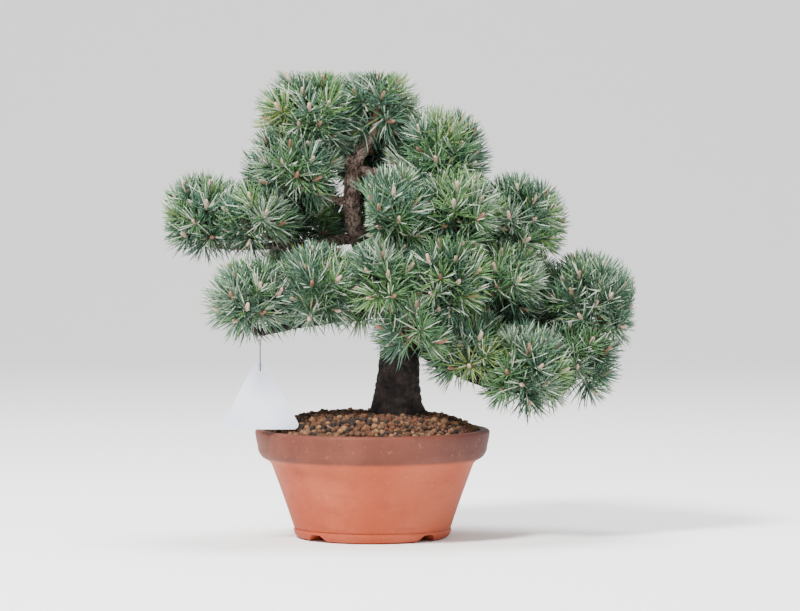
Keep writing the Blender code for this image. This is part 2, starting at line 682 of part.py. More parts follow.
def main():
    for piece in list(bpy.data.objects):
        bpy.data.objects.remove(piece)
    scene = bpy.context.scene.collection
    part = bpy.data.collections.new("black_pine_bonsai")
    cutters = bpy.data.collections.new("cutters")
    scene.children.link(part)
    scene.children.link(cutters)
    clay = make_material("clay", (0.48, 0.17, 0.09), 0.75)
    grit = make_material("soil", (0.20, 0.11, 0.06), 0.95)
    bark = make_material("bark", (0.10, 0.06, 0.045), 0.9)
    needles = make_material("needles", (0.07, 0.14, 0.07), 0.55)
    plastic = make_material("white_plastic", (0.85, 0.86, 0.88), 0.35)
    metal = make_material("wire", (0.12, 0.12, 0.12), 0.45, 1.0)
    make_pot(clay, part, cutters)
    make_soil(grit, part)
    trunk_path, bough_paths, stems = plan_limbs()
    trunk = make_trunk(trunk_path, bark, part)
    make_boughs(trunk, bough_paths, bark, part, cutters)
    wire, hole_top = wire_path(bough_paths)
    make_tube("tag_wire", wire, 1, metal, part)
    make_tag(hole_top, plastic, part)
    space = Space({"trunk": trunk_path, "wire": wire, **bough_paths}, stems)
    for name in MASSES:
        make_mass(name, stems[name], space, needles, part)
    stand = bpy.data.objects.new("stand", None)
    part.objects.link(stand)
    stand.location = (POT_AXIS[0] * MM, POT_AXIS[1] * MM, 0.0)
    for piece in part.objects:
        if piece is not stand:
            piece.parent = stand


main()
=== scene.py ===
# A short-needled black pine bonsai in a round clay pot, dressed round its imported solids.
# Lengths are in millimetres from the pot's axis until a mesh is made, and then in metres.

import json
import math
import random
from collections import namedtuple

import bmesh
import bpy
import numpy as np
from mathutils import Matrix, Vector, noise

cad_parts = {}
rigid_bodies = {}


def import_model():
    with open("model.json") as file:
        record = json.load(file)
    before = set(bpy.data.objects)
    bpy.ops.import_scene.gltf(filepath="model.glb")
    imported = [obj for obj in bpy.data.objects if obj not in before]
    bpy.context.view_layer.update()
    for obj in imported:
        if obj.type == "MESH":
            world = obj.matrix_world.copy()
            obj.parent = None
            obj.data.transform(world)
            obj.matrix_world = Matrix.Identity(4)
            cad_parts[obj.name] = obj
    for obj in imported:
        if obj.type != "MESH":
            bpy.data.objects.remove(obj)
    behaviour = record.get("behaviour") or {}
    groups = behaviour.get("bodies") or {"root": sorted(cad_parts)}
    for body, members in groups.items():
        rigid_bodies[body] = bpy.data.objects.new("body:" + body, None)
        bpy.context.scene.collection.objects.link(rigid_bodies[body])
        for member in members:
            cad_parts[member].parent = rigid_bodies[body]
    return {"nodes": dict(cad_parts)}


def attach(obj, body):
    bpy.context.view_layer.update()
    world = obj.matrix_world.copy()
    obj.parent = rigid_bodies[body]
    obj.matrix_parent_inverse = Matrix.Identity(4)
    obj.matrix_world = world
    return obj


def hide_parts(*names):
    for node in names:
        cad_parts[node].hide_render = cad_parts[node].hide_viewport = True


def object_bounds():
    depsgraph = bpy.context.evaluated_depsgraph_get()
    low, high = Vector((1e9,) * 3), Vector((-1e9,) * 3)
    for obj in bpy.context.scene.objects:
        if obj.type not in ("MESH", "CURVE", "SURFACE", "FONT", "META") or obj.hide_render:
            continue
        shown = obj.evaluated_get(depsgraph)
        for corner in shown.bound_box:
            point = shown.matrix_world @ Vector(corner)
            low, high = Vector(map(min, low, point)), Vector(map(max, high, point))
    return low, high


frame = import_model()
cadBox = [[float(value) for value in corner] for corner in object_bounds()]
mm = 0.001
potAxis = Vector((-23.9, 0.5, 0.0))  # the pot stands a little off the outline's middle
goldenAngle = math.pi * (3 - math.sqrt(5))  # spreads turns evenly round an axis
coneHeight = 0.5  # of a tube's radius, at its closed ends


class Value:  # wraps a socket, so that shader maths reads as plain expressions
    def __init__(self, surface, socket):
        self.surface = surface
        self.socket = socket

    def maths(self, operation, first, second):
        return self.surface.node("ShaderNodeMath", {"operation": operation}, {0: first, 1: second})

    def __add__(self, other):
        return self.maths("ADD", self, other)

    def __radd__(self, other):
        return self.maths("ADD", other, self)

    def __sub__(self, other):
        return self.maths("SUBTRACT", self, other)

    def __rsub__(self, other):
        return self.maths("SUBTRACT", other, self)

    def __mul__(self, other):
        return self.maths("MULTIPLY", self, other)

    def __rmul__(self, other):
        return self.maths("MULTIPLY", other, self)

    def ramp(self, low, high):  # 0 at low, 1 at high, smooth between
        return self.surface.node(
            "ShaderNodeMapRange", {"interpolation_type": "SMOOTHSTEP"}, {0: self, 1: low, 2: high})


class Surface:  # a material, and the one method that adds its nodes
    def __init__(self, name, colour, roughness, **finish):
        self.material = bpy.data.materials.new(name)
        self.material.use_nodes = True
        self.tree = self.material.node_tree
        self.shader = self.tree.nodes["Principled BSDF"]
        self.feed("Base Color", (*colour, 1.0))
        self.feed("Roughness", roughness)
        for socket, value in finish.items():
            self.feed(socket.replace("_", " "), value)

    def feed(self, socket, value):
        self.join(self.shader.inputs[socket], value)

    def join(self, socket, value):
        if isinstance(value, Value):
            self.tree.links.new(value.socket, socket)
        else:
            socket.default_value = value

    def node(self, kind, settings, sockets, out=0):
        made = self.tree.nodes.new(kind)
        for key, value in settings.items():
            setattr(made, key, value)
        for key, value in sockets.items():
            self.join(made.inputs[key], value)
        return Value(self, made.outputs[out])

    def place(self):
        return self.node("ShaderNodeTexCoord", {}, {}, "Object")

    def along(self, axis):  # the place's X, Y or Z in metres
        return self.node("ShaderNodeSeparateXYZ", {}, {0: self.place()}, axis)

    def noise(self, scale, detail=3.0, roughness=0.55, stretch=(1.0, 1.0, 1.0)):
        where = self.node("ShaderNodeVectorMath", {"operation": "MULTIPLY"}, {0: self.place(), 1: stretch})
        return self.node("ShaderNodeTexNoise", {}, {
            "Vector": where, "Scale": scale, "Detail": detail, "Roughness": roughness})

    def pits(self, scale):
        return self.node("ShaderNodeTexVoronoi", {}, {"Vector": self.place(), "Scale": scale}, "Distance")

    def mix(self, share, first, second):
        first, second = [(*c, 1.0) if isinstance(c, tuple) else c for c in (first, second)]
        return self.node("ShaderNodeMix", {"data_type": "RGBA"}, {0: share, 6: first, 7: second}, 2)

    def bump(self, height, distance):
        self.feed("Normal", self.node("ShaderNodeBump", {}, {
            "Height": height, "Distance": distance, "Strength": 1.0}))


def tube(rows, sides, relief=None):  # rows of x, y, z and radius; gives points, faces and grooves
    rows = np.asarray(rows, dtype=float)
    along = np.gradient(rows[:, :3], axis=0)
    along /= np.linalg.norm(along, axis=1)[:, None]
    side = Vector(along[0]).orthogonal().normalized()
    turns = np.arange(sides) * math.tau / sides
    points, faces, grooves = [], [], []
    for row, way in zip(rows, along):
        way = Vector(way)
        side = (side - way * side.dot(way)).normalized()
        up = way.cross(side)
        for turn in turns:
            out = side * math.cos(turn) + up * math.sin(turn)
            place = Vector(row[:3]) + out * row[3]
            lift, groove = relief(place, out, row[3]) if relief else (0.0, 0.0)
            points.append(place + out * lift)
            grooves.append(groove)
    for i in range(len(rows) - 1):
        for j in range(sides):
            k = (j + 1) % sides
            faces.append((i * sides + j, i * sides + k, (i + 1) * sides + k, (i + 1) * sides + j))
    for ring, step in ((0, -1), (len(rows) - 1, 1)):
        points.append(Vector(rows[ring, :3]) + Vector(along[ring]) * (step * rows[ring, 3] * coneHeight))
        grooves.append(0.0)
        for j in range(sides):
            edge = (ring * sides + j, ring * sides + (j + 1) % sides)
            faces.append((*(edge if step > 0 else edge[::-1]), len(points) - 1))
    return points, faces, grooves


def addObject(name, data):
    made = bpy.data.objects.new(name, data)
    bpy.context.scene.collection.objects.link(made)
    return made


def makePiece(name, parts, surfaces, replaced):
    # parts are (points, faces, material number) with grooves where there are any, and become one mesh
    points, faces, kinds, grooves = [], [], [], []
    for part in parts:
        count = len(points)
        points.extend(part[0])
        faces.extend([tuple(count + corner for corner in face) for face in part[1]])
        kinds.extend([part[2]] * len(part[1]))
        grooves.extend(part[3] if len(part) > 3 else [0.0] * len(part[0]))
    mesh = bpy.data.meshes.new(name)
    placed = (np.array([tuple(point) for point in points]) + np.array(potAxis)) * mm
    mesh.from_pydata(placed.tolist(), [], faces)
    finishPiece(name, mesh, kinds, surfaces, replaced, grooves)


def finishPiece(name, mesh, kinds, surfaces, replaced, grooves=()):
    for surface in surfaces:
        mesh.materials.append(surface.material)
    mesh.polygons.foreach_set("material_index", np.array(kinds, dtype=np.int32))
    mesh.polygons.foreach_set("use_smooth", np.full(len(mesh.polygons), True))
    if any(grooves):
        layer = mesh.attributes.new("groove", "FLOAT", "POINT")
        layer.data.foreach_set("value", np.array(grooves, dtype=np.float32))
    mesh.update()
    piece = addObject(name, mesh)
    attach(piece, "root")
    if replaced:
        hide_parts(*replaced)


def sharesOf(colours):  # the weights of a dictionary of colours, as parts of one
    weights = np.array([weight for colour, weight in colours.values()], dtype=float)
    return weights / weights.sum()


def boxLimits(margin):  # the solids' box from the pot's axis, less a margin
    low = np.array(cadBox[0]) / mm - np.array(potAxis) + margin
    high = np.array(cadBox[1]) / mm - np.array(potAxis) - margin
    return low, high


# The limbs run as the solids' limbs do. A station is a place on the trunk and its radius there.

Station = namedtuple("Station", "x y z radius")
trunkShape = dict(
    stations=(
        Station(22.0, 0.0, 98.0, 21.5), Station(21.5, 0.0, 127.0, 19.5), Station(24.0, 3.0, 166.0, 17.6),
        Station(18.5, 8.0, 206.0, 14.8), Station(0.0, 11.0, 245.0, 11.2), Station(-15.0, 9.0, 276.0, 8.6),
        Station(-18.5, 6.0, 304.0, 7.6), Station(-15.5, 3.0, 334.0, 7.0), Station(-1.0, 0.0, 358.0, 4.6)),
    step=11.0, fineStep=1.2, sides=88, ground=109.8, sink=0.2,
    flareHeight=24.0, flareSpread=0.13, lobes=5, lobeDepth=0.07, lobeTurn=0.6, flareUpTo=180.0,
    burlZ=114.0, burlTurn=-0.1, burlSize=2.4, burlReach=7.5, burlWidth=0.6)
boughShape = dict(
    taper=0.55, step=14.0, fineStep=1.5, entry=0.15, crook=2.2, waves=(1.4, 2.2), mainSides=22, sideSides=14,
    carryStep=1.4, carryWindow=13, carryTaper=0.72)  # carry: how a bough is smoothed on up its mass's stem
stemShape = dict(gap=0.3, knee=4.0, hubDrop=0.1, taper=0.8)

# A mass of foliage is a ball on a bough. The bough leaves the trunk at a height, or another bough at a share
# of its length. It sags in the middle, meets the mass below its centre by a share of the radius, and thick is
# its own radius where it leaves.
Mass = namedtuple("Mass", "x y z radius parent at sag drop thick")
masses = {
    "crown_top": Mass(4, 0, 383, 38, "trunk", 358, 0, 0.6, 4.6),
    "crown_left": Mass(-57, -8, 373, 46, "trunk", 336, 4, 0.60, 5.6),
    "crown_right": Mass(58, -8, 338, 45, "trunk", 328, 2, 0.25, 4.8),
    "crown_back": Mass(4, 50, 346, 42, "trunk", 318, 2, 0.25, 4.4),
    "upper_left": Mass(-70, -20, 329, 43, "trunk", 300, 6, 0.30, 4.2),
    "left_tip": Mass(-149, -6, 282, 42, "trunk", 268, 8, 0.50, 5.4),
    "left_inner": Mass(-100, -26, 283, 37, "left_tip", 0.42, 0, 0.30, 3.2),
    "left_back": Mass(-62, 32, 277, 42, "left_tip", 0.34, 0, 0.35, 3.4),
    "middle_front": Mass(16, -46, 288, 43, "right_tip", 0.20, 4, 0.40, 4.2),
    "middle_right": Mass(74, -36, 286, 42, "right_tip", 0.46, 2, 0.45, 3.8),
    "right_tip": Mass(130, -4, 281, 42, "trunk", 243, 6, 0.45, 9.0),
    "middle_back": Mass(14, 62, 283, 43, "trunk", 256, 4, 0.30, 4.8),
    "right_back": Mass(60, 46, 280, 43, "right_tip", 0.3, 2, 0.30, 4.0),
    "low_left_tip": Mass(-106, -66, 210, 40, "trunk", 212, 4, 0.62, 7.0),
    "low_left_mid": Mass(-48, -52, 222, 41, "low_left_tip", 0.42, 0, 0.35, 4.2),
    "low_left_back": Mass(-68, 34, 222, 43, "trunk", 215, 6, 0.40, 5.4),
    "low_front": Mass(12, -62, 230, 38, "trunk", 228, 2, 0.25, 4.4),
    "low_front_foot": Mass(36, -66, 188, 34, "trunk", 190, -4, 0.05, 4.6),
    "low_back": Mass(0, 74, 214, 43, "trunk", 208, 4, 0.40, 5.4),
    "right_front": Mass(64, -56, 231, 41, "far_right", 0.32, 0, 0.45, 4.2),
    "right_middle": Mass(114, -26, 226, 40, "far_right", 0.56, 0, 0.45, 3.8),
    "far_right": Mass(195, 0, 207, 47, "trunk", 205, 6, 0.40, 7.4),
    "far_right_back": Mass(140, 44, 212, 41, "far_right", 0.52, 2, 0.35, 4.0),
    "low_right_back": Mass(74, 62, 198, 43, "trunk", 193, 6, 0.35, 5.6),
    "low_right_inner": Mass(86, -36, 168, 41, "low_right_tip", 0.38, 0, 0.40, 4.2),
    "low_right_mid": Mass(134, -42, 150, 42, "low_right_tip", 0.64, 0, 0.40, 3.8),
    "low_right_tip": Mass(180, -8, 160, 42, "trunk", 183, 36, 0.62, 7.6),
}


def catmull(stations, step):  # a smooth run through the stations, about a step apart
    rows = np.array(stations, dtype=float)
    ends = np.vstack([2 * rows[0] - rows[1], rows, 2 * rows[-1] - rows[-2]])
    points = []
    for i in range(1, len(ends) - 2):
        a, b, c, d = ends[i - 1:i + 3]
        pieces = max(1, round(float(np.linalg.norm((c - b)[:3])) / step))
        for j in range(pieces):
            t = j / pieces
            points.append(0.5 * (2 * b + (c - a) * t + (2 * a - 5 * b + 4 * c - d) * t * t
                                 + (3 * b - a - 3 * c + d) * t ** 3))
    points.append(rows[-1])
    return np.array(points)


def boughPath(name, start, end, sag, root, tip, step):
    rng = random.Random(name)
    turn = rng.uniform(0.0, math.tau)
    waves = rng.uniform(*boughShape["waves"])
    middle = (start + end) / 2 - Vector((0, 0, sag))
    along = (end - start).normalized()
    side = along.cross(Vector((0, 0, 1))).normalized()
    up = side.cross(along)
    count = max(4, round((end - start).length / step))
    rows = []
    for i in range(count + 1):
        t = i / count
        point = start * (1 - t) ** 2 + middle * 2 * t * (1 - t) + end * t * t
        swing = boughShape["crook"] * math.sin(math.pi * t) ** 2
        phase = turn + math.tau * waves * t
        point = point + side * (swing * math.cos(phase)) + up * (0.5 * swing * math.sin(phase))
        rows.append((*point, root + (tip - root) * t))
    return np.array(rows)


def pointAt(path, share):  # a share of the way along a bough
    lengths = np.concatenate([[0.0], np.cumsum(np.linalg.norm(np.diff(path[:, :3], axis=0), axis=1))])
    return Vector([np.interp(share * lengths[-1], lengths, path[:, k]) for k in range(3)])


def trunkAt(path, height):
    return Vector([np.interp(height, path[:, 2], path[:, k]) for k in range(3)])


def planLimbs():  # the trunk, the boughs at the solids' step and at a fine one, and the masses' stems
    trunk = catmull(trunkShape["stations"], trunkShape["step"])
    boughs, fine, stems = {}, {}, {}
    for name, mass in sorted(masses.items(), key=lambda item: item[1].parent != "trunk"):
        centre = Vector(mass[:3])
        tip = mass.thick * boughShape["taper"]
        if name == "crown_top":  # sits on the trunk's own tip
            end = Vector(trunk[-1, :3])
            along = (end - Vector(trunk[-2, :3])).normalized()
            tip = float(trunk[-1, 3])
        else:
            onTrunk = mass.parent == "trunk"
            start = trunkAt(trunk, mass.at) if onTrunk else pointAt(boughs[mass.parent], mass.at)
            inward = (start - centre).normalized()
            end = centre + inward * (boughShape["entry"] * mass.radius)
            end -= Vector((0, 0, mass.drop * mass.radius))
            boughs[name] = boughPath(name, start, end, mass.sag, mass.thick, tip, boughShape["step"])
            fine[name] = boughPath(name, start, end, mass.sag, mass.thick, tip, boughShape["fineStep"])
            along = (end - Vector(boughs[name][-2, :3])).normalized()
        hub = centre - Vector((0, 0, stemShape["hubDrop"] * mass.radius))
        root = end + along * stemShape["gap"]
        knee = root + along * stemShape["knee"]
        stems[name] = np.array([(*root, tip), (*knee, tip), (*hub, tip * stemShape["taper"])])
    return trunk, boughs, fine, stems


def dense(path, step=2.0):  # more rows on the same straight runs
    rows = [path[:1]]
    for a, b in zip(path[:-1], path[1:]):
        count = max(1, int(np.linalg.norm((b - a)[:3]) / step))
        rows.append(a + (b - a) * (np.arange(1, count + 1) / count)[:, None])
    return np.vstack(rows)


def carriedOn(path, stem):  # a bough that bends smoothly on up its mass's stem
    rows = dense(np.vstack([path, stem]), boughShape["carryStep"])
    window = boughShape["carryWindow"]
    edge = window // 2
    padded = np.vstack([np.repeat(rows[:1], edge, axis=0), rows, np.repeat(rows[-1:], edge, axis=0)])
    smooth = np.stack([padded[i:i + window].mean(axis=0) for i in range(len(rows))])
    smooth[:, 3] *= np.linspace(1.0, boughShape["carryTaper"], len(smooth))
    return smooth


class Space:  # where each mass may grow: its own ball, on its own side of its neighbours
    clearance = 0.5  # kept between a twig and any limb

    def __init__(self, limbs, stems):
        self.names = list(masses)
        self.centres = np.array([mass[:3] for mass in masses.values()], dtype=float)
        self.radii = np.array([mass.radius for mass in masses.values()], dtype=float)
        self.limbs = [dense(path) for path in limbs.values()]
        self.stems = {name: dense(path) for name, path in stems.items()}

    def choose(self, name):
        self.own = self.names.index(name)
        self.obstacles = np.vstack(self.limbs + [path for other, path in self.stems.items() if other != name])
        self.apart = np.linalg.norm(self.centres - self.centres[self.own], axis=1)

    def inside(self, points, margin, beyond=0.0):  # for many points at once
        points = np.atleast_2d(np.array(points, dtype=float))
        away = np.sum((points[:, None, :] - self.centres[None]) ** 2, axis=2)
        power = away - self.radii ** 2
        rest = power - power[:, self.own:self.own + 1] - 2 * margin * self.apart
        rest[:, self.own] = 1.0
        within = away[:, self.own] <= (self.radii[self.own] + beyond) ** 2
        return within & (rest > 0.0).all(axis=1)

    def clear(self, a, b, thickness):  # no limb comes too near the line from a to b
        a, b = np.array(a), np.array(b)
        run = b - a
        share = np.clip(((self.obstacles[:, :3] - a) @ run) / (run @ run), 0.0, 1.0)
        distance = np.linalg.norm(self.obstacles[:, :3] - (a + share[:, None] * run), axis=1)
        return bool((distance > self.obstacles[:, 3] + thickness + self.clearance).all())


# Bark has flaky plates on the trunk, and knuckles and ridges on the boughs. A pair of thresholds is where a
# pattern starts to show and where it shows in full.

barkShape = dict(
    thick=16.0,  # a limb of this radius and more has the largest plates
    plate=2.4, plateGain=2.2, plateStretch=1.9, crack=0.22, crackDepth=1.25,
    warpSize=5.0, warp=0.55, swellSize=6.0, swell=1.1, lift=0.35, liftGain=0.75,
    grainSize=2.4, grain=0.42, grainDetail=(0.75, 2.1, 4), knuckleSize=14.0, knuckle=0.10, seed=7)
barkLook = dict(
    old=((0.006, 0.0045, 0.0045), (0.034, 0.021, 0.018)), oldPatches=(0.40, 0.62),
    young=((0.17, 0.110, 0.085), (0.42, 0.31, 0.26)), youngPatches=(0.35, 0.65),
    youngAbove=(0.215, 0.31),  # metres up
    flake=(0.34, 0.235, 0.195), flakes=(0.60, 0.72), crack=(0.018, 0.012, 0.010), relief=0.0006)


def barkRelief(place, out, radius):
    shape = barkShape
    coarse = min(1.0, radius / shape["thick"])
    size = shape["plate"] + shape["plateGain"] * coarse
    warp = noise.noise_vector(place / shape["warpSize"]) * shape["warp"]
    where = Vector((place.x / size, place.y / size, place.z / (size * shape["plateStretch"])))
    cell = noise.voronoi(where + warp)[0]
    groove = max(0.0, 1.0 - (cell[1] - cell[0]) / shape["crack"])
    plate = noise.noise(place / shape["swellSize"]) * shape["swell"] - shape["crackDepth"] * groove * groove
    grain = noise.fractal(place / shape["grainSize"], *shape["grainDetail"])
    knuckle = noise.noise(place / shape["knuckleSize"] + Vector((7, 3, 1)))
    lift = (shape["lift"] + shape["liftGain"] * coarse) * plate + shape["grain"] * grain
    return lift + radius * shape["knuckle"] * knuckle, groove


def trunkRelief(place, out, radius):  # the bark, the flared foot and the burl
    shape = trunkShape
    lift, groove = barkRelief(place, out, radius)
    if place.z < shape["flareUpTo"]:
        turn = math.atan2(out.y, out.x)
        low = math.exp(-max(0.0, place.z - shape["ground"]) / shape["flareHeight"])
        lobes = shape["lobeDepth"] * math.cos(shape["lobes"] * turn + shape["lobeTurn"])
        lift += radius * (shape["flareSpread"] + lobes) * low
        off = ((place.z - shape["burlZ"]) / shape["burlReach"]) ** 2
        off += ((turn - shape["burlTurn"]) / shape["burlWidth"]) ** 2
        lift += shape["burlSize"] * math.exp(-off)
    return lift - shape["sink"], groove


def barkSurface():
    look = barkLook
    bark = Surface("flakyBark", (0.10, 0.06, 0.045), 0.85, Specular_IOR_Level=0.3)
    groove = bark.node("ShaderNodeAttribute", {"attribute_name": "groove"}, {}, "Fac")
    patches = bark.noise(90.0, 4.0)
    flakes = bark.noise(420.0, 4.0, 0.65, (1.0, 1.0, 0.45))
    high = bark.along("Z").ramp(*look["youngAbove"])
    old = bark.mix(patches.ramp(*look["oldPatches"]), *look["old"])
    young = bark.mix(patches.ramp(*look["youngPatches"]), *look["young"])
    colour = bark.mix(high, old, young)
    colour = bark.mix(flakes.ramp(*look["flakes"]) * (0.25 + high * 0.4), colour, look["flake"])
    colour = bark.mix(groove.ramp(0.15, 0.85) * 0.85, colour, look["crack"])
    bark.feed("Base Color", colour)
    bark.feed("Roughness", 0.95 - patches * 0.35)
    bark.bump(flakes + bark.noise(1500.0, 2.0) * 0.4, look["relief"])
    return bark


def makeLimbs(boughs, stems):
    noise.seed_set(barkShape["seed"])  # without it, the plates' warp changes from run to run
    bark = barkSurface()
    fineTrunk = catmull(trunkShape["stations"], trunkShape["fineStep"])
    points, faces, grooves = tube(fineTrunk, trunkShape["sides"], trunkRelief)
    makePiece("trunkBark", [(points, faces, 0, grooves)], [bark], ("trunk",))
    parts = []
    for name, path in boughs.items():
        sides = boughShape["mainSides"] if masses[name].parent == "trunk" else boughShape["sideSides"]
        points, faces, grooves = tube(carriedOn(path, stems[name]), sides, barkRelief)
        parts.append((points, faces, 0, grooves))
    makePiece("boughBark", parts, [bark], tuple("bough_" + name for name in boughs))


# Each mass bears shoots, each shoot a twig, a candle and a spray of needles.

shootShape = dict(
    length=14.0, solidLength=14.0, tries=520, spacing=16.0, firstTry=0.35, lowest=-0.9, lift=0.75, stray=0.42,
    leastDepth=8.0, depthJitter=7.5, turnJitter=0.25, thickness=2.0, innerShare=0.55, hold=-2.0)
twigShape = dict(
    root=1.5, branch=1.25, foot=1.0, nose=0.9, leaveAt=0.55, loyalty=0.3, least=4.0, sides=6, bow=1.3,
    rings=5, noseRings=(0.33, 0.66, 1.0), uneven=0.12, stemStep=2.5, stemSides=12)
candleShape = dict(
    share=0.9, length=(7.0, 12.0), radius=2.3, tipRadius=1.1, sides=7, rings=6, lift=0.35, sunk=1.0,
    ridges=(0.92, 1.14), paleShare=0.65)
needleShape = dict(
    count=60, length=26.0, lengths=(0.70, 1.14), rootLean=92.0, noseLean=30.0, jitter=10.0, turnJitter=0.4,
    before=1.5, past=1.0, off=0.5, bow=0.16, bowJitter=0.03, lift=0.16, twist=0.3,
    radius=0.64, rings=((0.0, 1.0), (0.4, 1.0), (0.78, 0.72)),  # a share of the length, and of the radius
    cuts=(1.0, 0.82, 0.64),  # a needle that reaches too far is cut to these shares
    beyond=8.0, sideGap=-9.0, boxGap=0.4, seed=7)
needleColours = dict(  # each with its weight in the deal
    deep=((0.030, 0.075, 0.042), 16), blueGreen=((0.070, 0.155, 0.100), 22),
    midGreen=((0.085, 0.190, 0.075), 20), greyGreen=((0.200, 0.285, 0.200), 12),
    # the pale colour is a painted highlight, dealt to single needles and never to a whole spray
    paleHighlight=((0.520, 0.600, 0.480), 0), yellowGreen=((0.220, 0.310, 0.090), 4),
    bright=((0.140, 0.270, 0.085), 12))
needleDeal = dict(sprayShare=0.78, paleShare=0.13)  # needles in their spray's colour, and pale ones anywhere, which are painted highlights
crownWindow = dict(low=(-34.0, -90.0, 258.0), high=(0.0, 4.0, 322.0), margin=8.0)  # the trunk shows here
woodColours = dict(
    twig=(0.115, 0.070, 0.045), paleCandle=(0.52, 0.36, 0.28), brownCandle=(0.25, 0.135, 0.085))


def inWindow(points, margin=0.0):
    low, high = np.array(crownWindow["low"]) + margin, np.array(crownWindow["high"]) - margin
    return ((points > low) & (points < high)).all(axis=1)


def shootsOf(name, space):
    shape, mass = shootShape, masses[name]
    rng = random.Random("shoots " + name)
    centre = Vector(mass[:3])
    reach = needleShape["length"] * shape["innerShare"] + shape["solidLength"]
    depth = max(shape["leastDepth"], mass.radius - reach)
    shoots, noses = [], []
    for i in range(shape["tries"]):
        height = 1 - (i + shape["firstTry"]) / shape["tries"] * (1 - shape["lowest"])
        turn = i * goldenAngle + rng.uniform(-shape["turnJitter"], shape["turnJitter"])
        flat = math.sqrt(max(0.0, 1 - height * height))
        out = Vector((flat * math.cos(turn), flat * math.sin(turn), height))
        foot = centre + out * (depth + rng.uniform(-1, 1) * shape["depthJitter"])
        stray = Vector([rng.uniform(-1, 1) for k in range(3)]) * shape["stray"]
        axis = (out + stray + Vector((0, 0, shape["lift"]))).normalized()
        nose = foot + axis * shape["length"]
        if any((nose - other).length < shape["spacing"] for other in noses):
            continue
        held = space.inside([foot, nose], shape["hold"]).all() and not inWindow(np.array([nose])).any()
        if held and space.clear(foot, nose, shape["thickness"]):
            shoots.append((foot, axis))
            noses.append(nose)
    return shoots


def twigsOf(shoots, hub, space):  # each shoot is joined to the hub, or to a twig that is already there
    shape = twigShape
    grown = []
    for foot, axis in sorted(shoots, key=lambda shoot: (shoot[0] - hub).length):
        places = [(hub, shape["root"])]
        places += [(twig[0].lerp(twig[1], shape["leaveAt"]), shape["branch"]) for twig in grown]
        places.sort(key=lambda place: (foot - place[0]).length + shape["loyalty"] * (place[0] - hub).length)
        for start, radius in places:
            if (foot - start).length > shape["least"] and space.clear(start, foot, radius):
                grown.append((start, foot, axis, radius))
                break
    return grown


def twigParts(twigs, stem, rng):
    shape = twigShape
    parts = []
    if stem is not None:
        parts.append((*tube(dense(stem, shape["stemStep"]), shape["stemSides"])[:2], 0))
    for start, foot, axis, radius in twigs:
        run = foot - start
        side = run.orthogonal().normalized() * rng.uniform(-1, 1) * shape["bow"]
        rows = []
        for i in range(shape["rings"] + 1):
            t = i / shape["rings"]
            point = start + run * t + side * math.sin(math.pi * t)
            rows.append((*point, radius + (shape["foot"] - radius) * t))
        nose = foot + axis * shootShape["length"]
        rows += [(*foot.lerp(nose, share), shape["nose"] * (1 + shape["uneven"] * rng.uniform(-1, 1)))
                 for share in shape["noseRings"]]
        parts.append((*tube(rows, shape["sides"])[:2], 0))
    return parts


def candleParts(twigs, rng):
    shape = candleShape
    parts = []
    low, high = boxLimits(shape["radius"])
    for start, foot, axis, radius in twigs:
        if rng.random() > shape["share"]:
            continue
        way = (axis + Vector((0, 0, shape["lift"]))).normalized()
        base = foot + axis * (shootShape["length"] - shape["sunk"])
        length = rng.uniform(*shape["length"])
        tip = np.array(base + way * length)
        if (tip < low).any() or (tip > high).any():
            continue
        rows = []
        for i in range(shape["rings"] + 1):
            t = i / shape["rings"]
            swell = shape["radius"] + (shape["tipRadius"] - shape["radius"]) * t * t
            rows.append((*(base + way * (length * t)), swell * shape["ridges"][i % 2]))
        points, faces, grooves = tube(rows, shape["sides"])
        parts.append((points, faces, 0 if rng.random() < shape["paleShare"] else 1))
    return parts


def needlesOf(twig, space, rng, low, high):  # the points of one spray, and how many needles it has
    shape = needleShape
    foot, axis = np.array(twig[1]), np.array(twig[2])
    count = shape["count"]
    side = np.array(Vector(axis).orthogonal().normalized())
    up = np.cross(axis, side)
    share = np.sqrt((np.arange(count) + rng.random(count)) / count)
    turn = np.arange(count) * goldenAngle + rng.uniform(-shape["turnJitter"], shape["turnJitter"], count)
    radial = np.cos(turn)[:, None] * side + np.sin(turn)[:, None] * up
    lean = shape["rootLean"] + (shape["noseLean"] - shape["rootLean"]) * share
    lean = np.radians(lean + rng.normal(0.0, shape["jitter"], count))
    way = radial * np.sin(lean)[:, None] + axis * np.cos(lean)[:, None]
    way[:, 2] += shape["lift"]
    way /= np.linalg.norm(way, axis=1)[:, None]
    height = share * (shootShape["length"] + shape["past"]) - shape["before"]
    root = foot + axis * height[:, None] + radial * shape["off"]
    length = shape["length"] * rng.uniform(*shape["lengths"], count)
    kept = np.zeros(count, dtype=bool)
    for cut in shape["cuts"]:
        tip = root + way * (length * cut)[:, None]
        held = space.inside(tip, shape["sideGap"], shape["beyond"])
        held &= (tip > low).all(axis=1) & (tip < high).all(axis=1) & ~inWindow(tip, crownWindow["margin"])
        now = held & ~kept
        length[now] *= cut
        kept |= now
    root, way, length, radial = root[kept], way[kept], length[kept], radial[kept]
    bow = (axis * shape["bow"] + rng.normal(0.0, shape["bowJitter"], (len(root), 3))) * length[:, None]
    first = np.cross(way, radial + shape["twist"] * up)
    first /= np.maximum(np.linalg.norm(first, axis=1), 1e-6)[:, None]
    second = np.cross(way, first)
    corners = []
    for ring, thickness in shape["rings"]:
        middle = root + way * (length * ring)[:, None] + bow * (ring * ring - ring)
        radius = shape["radius"] * thickness
        for turn in (math.tau * corner / 3 for corner in range(3)):
            corners.append(middle + radius * (first * math.cos(turn) + second * math.sin(turn)))
    corners.append(root + way * length[:, None])
    return np.stack(corners, axis=1).reshape(-1, 3), len(root)


